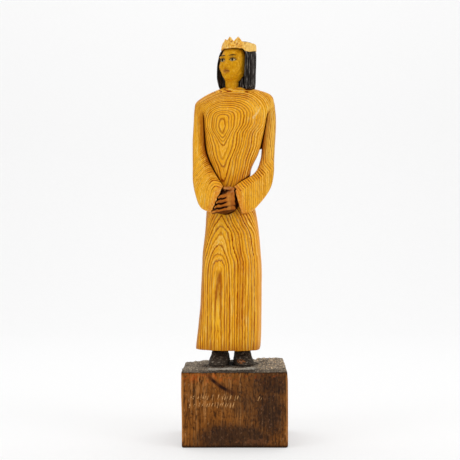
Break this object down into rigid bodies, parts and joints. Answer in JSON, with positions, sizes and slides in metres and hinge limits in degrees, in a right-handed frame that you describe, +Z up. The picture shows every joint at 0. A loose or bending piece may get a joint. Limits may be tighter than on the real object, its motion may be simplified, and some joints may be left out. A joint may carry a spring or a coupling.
{
  "type": "carved wooden figure",
  "caption": "Standing wood carving of a crowned woman in a long gown with her hands clasped in front, cut as one piece with its squared block.",
  "frame": {"origin": "middle of the block's flat underside, on the surface that the carving stands on", "axes": "+Z up along the grain and the figure's height, -Y out of the figure's front, +X to the right of a viewer who faces the front"},
  "size_m": [0.1154, 0.115, 0.4495],
  "materials": {
    "pine_wood": "varnished ring-marked pine, with painted hair, hands and shoes and a dark stained block"
  },
  "bodies": {
    "root": {"carved_figure": "pine_wood"}
  },
  "joints": []
}
